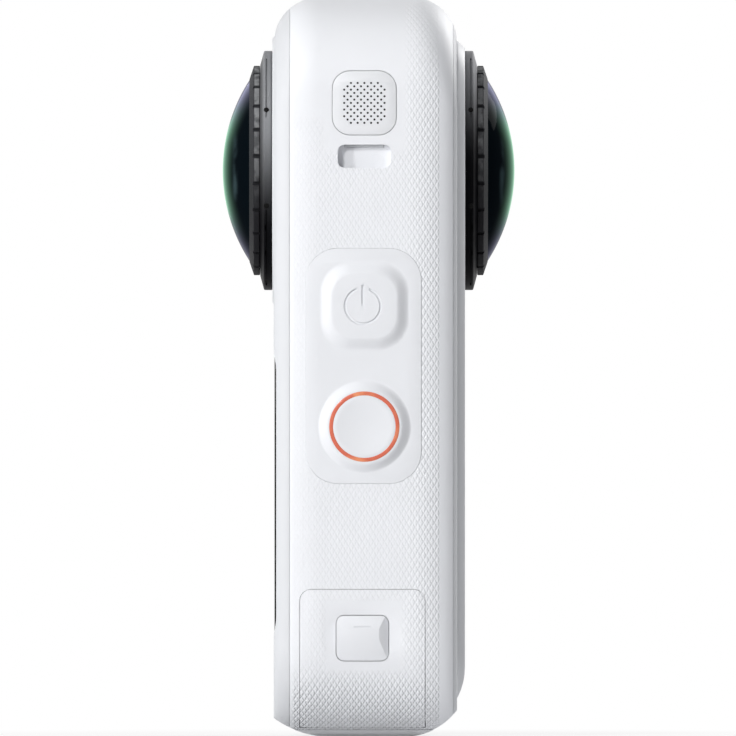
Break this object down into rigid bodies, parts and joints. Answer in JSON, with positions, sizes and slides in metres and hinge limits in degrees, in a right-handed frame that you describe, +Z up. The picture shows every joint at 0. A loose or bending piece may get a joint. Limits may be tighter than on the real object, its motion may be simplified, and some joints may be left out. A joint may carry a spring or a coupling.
{
  "type": "360 degree camera",
  "caption": "Slim upright 360 degree camera with a domed fisheye lens on each broad face, side keys, touch display, hinged side door, slide-out battery and a tripod thread.",
  "frame": {"origin": "mouth of the tripod thread, in the middle of the base", "axes": "+Z up, +Y out of the front lens, the display faces -Y, +X out of the side with the keys"},
  "size_m": [0.047, 0.038, 0.096],
  "materials": {
    "shell_white": "fine textured moulding",
    "cover_white": "smooth satin",
    "display_black": "polished",
    "lens_grey": "satin anodised",
    "guard_grey": "fine grained",
    "dome_glass": "coated",
    "barrel_black": "matt",
    "inner_glass": "coated",
    "pad_white": "smooth",
    "ring_orange": "translucent",
    "grille_white": "smooth",
    "seal_dark": "matt",
    "board_green": "solder mask",
    "board_black": "solder mask",
    "steel": "plain",
    "chassis_alloy": "cast",
    "copper_sheet": "rolled",
    "insert_brass": "turned",
    "cell_dark": "moulded",
    "inner_grey": "moulded",
    "base_grey": "satin"
  },
  "bodies": {
    "housing": {"mid_frame": "shell_white", "display_cover": "cover_white", "lens_cover": "cover_white", "display_glass": "display_black", "display_module": "board_black", "lens_chassis": "chassis_alloy", "chassis_screws": "steel", "board_chassis": "chassis_alloy", "main_board": "board_green", "heat_spreader": "copper_sheet", "button_pad": "pad_white", "button_board": "board_green", "button_bracket": "steel", "tact_switches": "steel", "mic_grille": "grille_white", "mic_capsule": "steel", "speaker_baffle": "grille_white", "speaker": "barrel_black", "door_hinge_pin": "steel", "port_tub": "inner_grey", "usb_receptacle": "steel", "card_reader": "steel", "battery_tray": "inner_grey", "battery_contacts": "insert_brass", "base_plate": "base_grey", "tripod_bush": "insert_brass", "base_screws": "steel", "front_lens_bezel": "lens_grey", "front_lens_seal": "seal_dark", "front_lens_barrel": "barrel_black", "front_lens_element": "inner_glass", "front_sensor_board": "board_green", "rear_lens_bezel": "lens_grey", "rear_lens_seal": "seal_dark", "rear_lens_barrel": "barrel_black", "rear_lens_element": "inner_glass", "rear_sensor_board": "board_green"},
    "power_key": {"power_key": "pad_white"},
    "shutter_key": {"shutter_key": "pad_white", "shutter_ring": "ring_orange"},
    "front_guard": {"front_guard_ring": "guard_grey", "front_guard_dome": "dome_glass"},
    "rear_guard": {"rear_guard_ring": "guard_grey", "rear_guard_dome": "dome_glass"},
    "side_door": {"side_door": "shell_white", "door_seal": "seal_dark", "latch_spring": "steel"},
    "door_latch": {"door_latch": "shell_white"},
    "battery": {"battery_cover": "shell_white", "battery_cell": "cell_dark", "battery_seal": "seal_dark"},
    "battery_latch_upper": {"battery_latch_upper": "pad_white"},
    "battery_latch_lower": {"battery_latch_lower": "pad_white"}
  },
  "joints": [
    {"name": "power_press", "type": "slide", "parent": "housing", "child": "power_key", "axis": [-1, 0, 0], "range_m": [0, 0.0004], "stiffness_N_per_m": 1500},
    {"name": "shutter_press", "type": "slide", "parent": "housing", "child": "shutter_key", "axis": [-1, 0, 0], "range_m": [0, 0.0004], "stiffness_N_per_m": 1500},
    {"name": "front_guard_twist", "type": "hinge", "parent": "housing", "child": "front_guard", "pos_m": [0, 0.014, 0.0736], "axis": [0, 1, 0], "range_deg": [0, 30]},
    {"name": "rear_guard_twist", "type": "hinge", "parent": "housing", "child": "rear_guard", "pos_m": [0, -0.014, 0.0736], "axis": [0, -1, 0], "range_deg": [0, 30]},
    {"name": "side_door_hinge", "type": "hinge", "parent": "housing", "child": "side_door", "pos_m": [0.0163, 0, 0.00275], "axis": [0, 1, 0], "range_deg": [0, 65]},
    {"name": "door_latch_rock", "type": "hinge", "parent": "side_door", "child": "door_latch", "pos_m": [0.0221, -0.0008, 0.01293], "axis": [0, 1, 0], "range_deg": [0, 6], "stiffness_Nm_per_rad": 0.02},
    {"name": "battery_slide", "type": "slide", "parent": "housing", "child": "battery", "axis": [-1, 0, 0], "range_m": [0, 0.02]},
    {"name": "battery_latch_upper_slide", "type": "slide", "parent": "battery", "child": "battery_latch_upper", "axis": [0, 0, -1], "range_m": [0, 0.0012], "stiffness_N_per_m": 300},
    {"name": "battery_latch_lower_slide", "type": "slide", "parent": "battery", "child": "battery_latch_lower", "axis": [0, 0, 1], "range_m": [0, 0.0012], "stiffness_N_per_m": 300}
  ]
}
